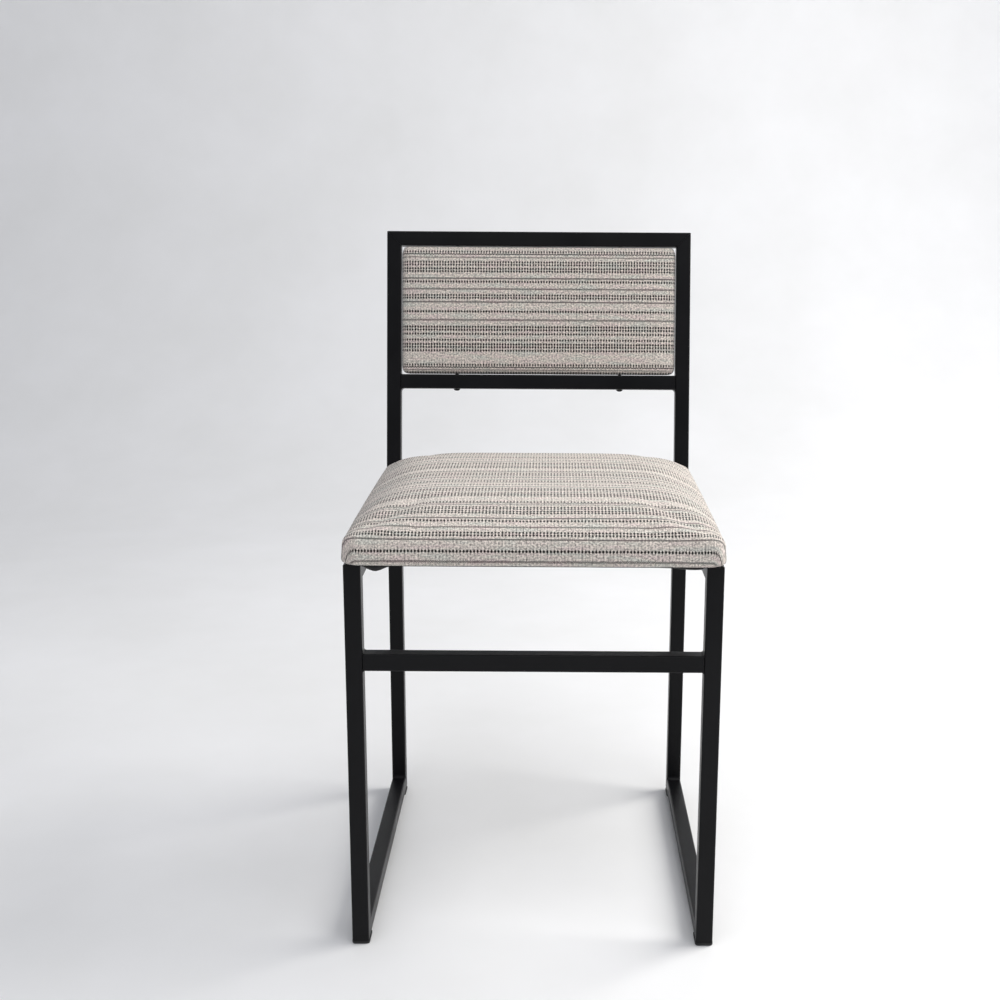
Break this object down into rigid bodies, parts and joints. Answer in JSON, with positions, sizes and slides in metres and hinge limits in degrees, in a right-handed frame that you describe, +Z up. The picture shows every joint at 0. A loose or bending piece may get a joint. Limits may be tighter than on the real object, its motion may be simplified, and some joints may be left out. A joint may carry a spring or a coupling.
{
  "type": "dining chair",
  "caption": "Dining chair with a welded square-tube sled frame, an upholstered seat pad and an upholstered panel held between the back rails.",
  "frame": {"origin": "on the floor, under the centre of the whole chair", "axes": "+Z up, +X to the right seen from the front, and the sitter faces -Y"},
  "size_m": [0.4334, 0.5324, 0.8247],
  "materials": {
    "frame_steel": "satin black powder coat on welded square steel tube",
    "glide_plastic": "moulded black nylon",
    "upholstery_cloth": "chunky woven beige cloth with broken dark stripes from side to side",
    "dust_cover_cloth": "thin black spun-bonded cloth",
    "foam": "open-cell upholstery foam",
    "plywood": "raw birch plywood",
    "zinc_steel": "bright zinc plate"
  },
  "bodies": {
    "root": {"front_leg_left": "frame_steel", "runner_left": "frame_steel", "seat_rail_left": "frame_steel", "rear_post_left": "frame_steel", "front_leg_right": "frame_steel", "runner_right": "frame_steel", "seat_rail_right": "frame_steel", "rear_post_right": "frame_steel", "front_stretcher": "frame_steel", "back_top_rail": "frame_steel", "back_lower_rail": "frame_steel", "seat_bar_front": "frame_steel", "seat_bar_rear": "frame_steel", "glide_front_left": "glide_plastic", "glide_front_right": "glide_plastic", "glide_rear_left": "glide_plastic", "glide_rear_right": "glide_plastic", "seat_board": "plywood", "seat_foam": "foam", "seat_cover": "upholstery_cloth", "seat_dust_cover": "dust_cover_cloth", "seat_screw_front_left": "zinc_steel", "tee_nut_front_left": "zinc_steel", "seat_screw_front_right": "zinc_steel", "tee_nut_front_right": "zinc_steel", "seat_screw_rear_left": "zinc_steel", "tee_nut_rear_left": "zinc_steel", "seat_screw_rear_right": "zinc_steel", "tee_nut_rear_right": "zinc_steel", "back_board": "plywood", "back_foam_front": "foam", "back_foam_rear": "foam", "back_cover": "upholstery_cloth", "back_screw_left": "frame_steel", "insert_nut_left": "zinc_steel", "locating_pin_left": "zinc_steel", "back_screw_right": "frame_steel", "insert_nut_right": "zinc_steel", "locating_pin_right": "zinc_steel"}
  },
  "joints": []
}
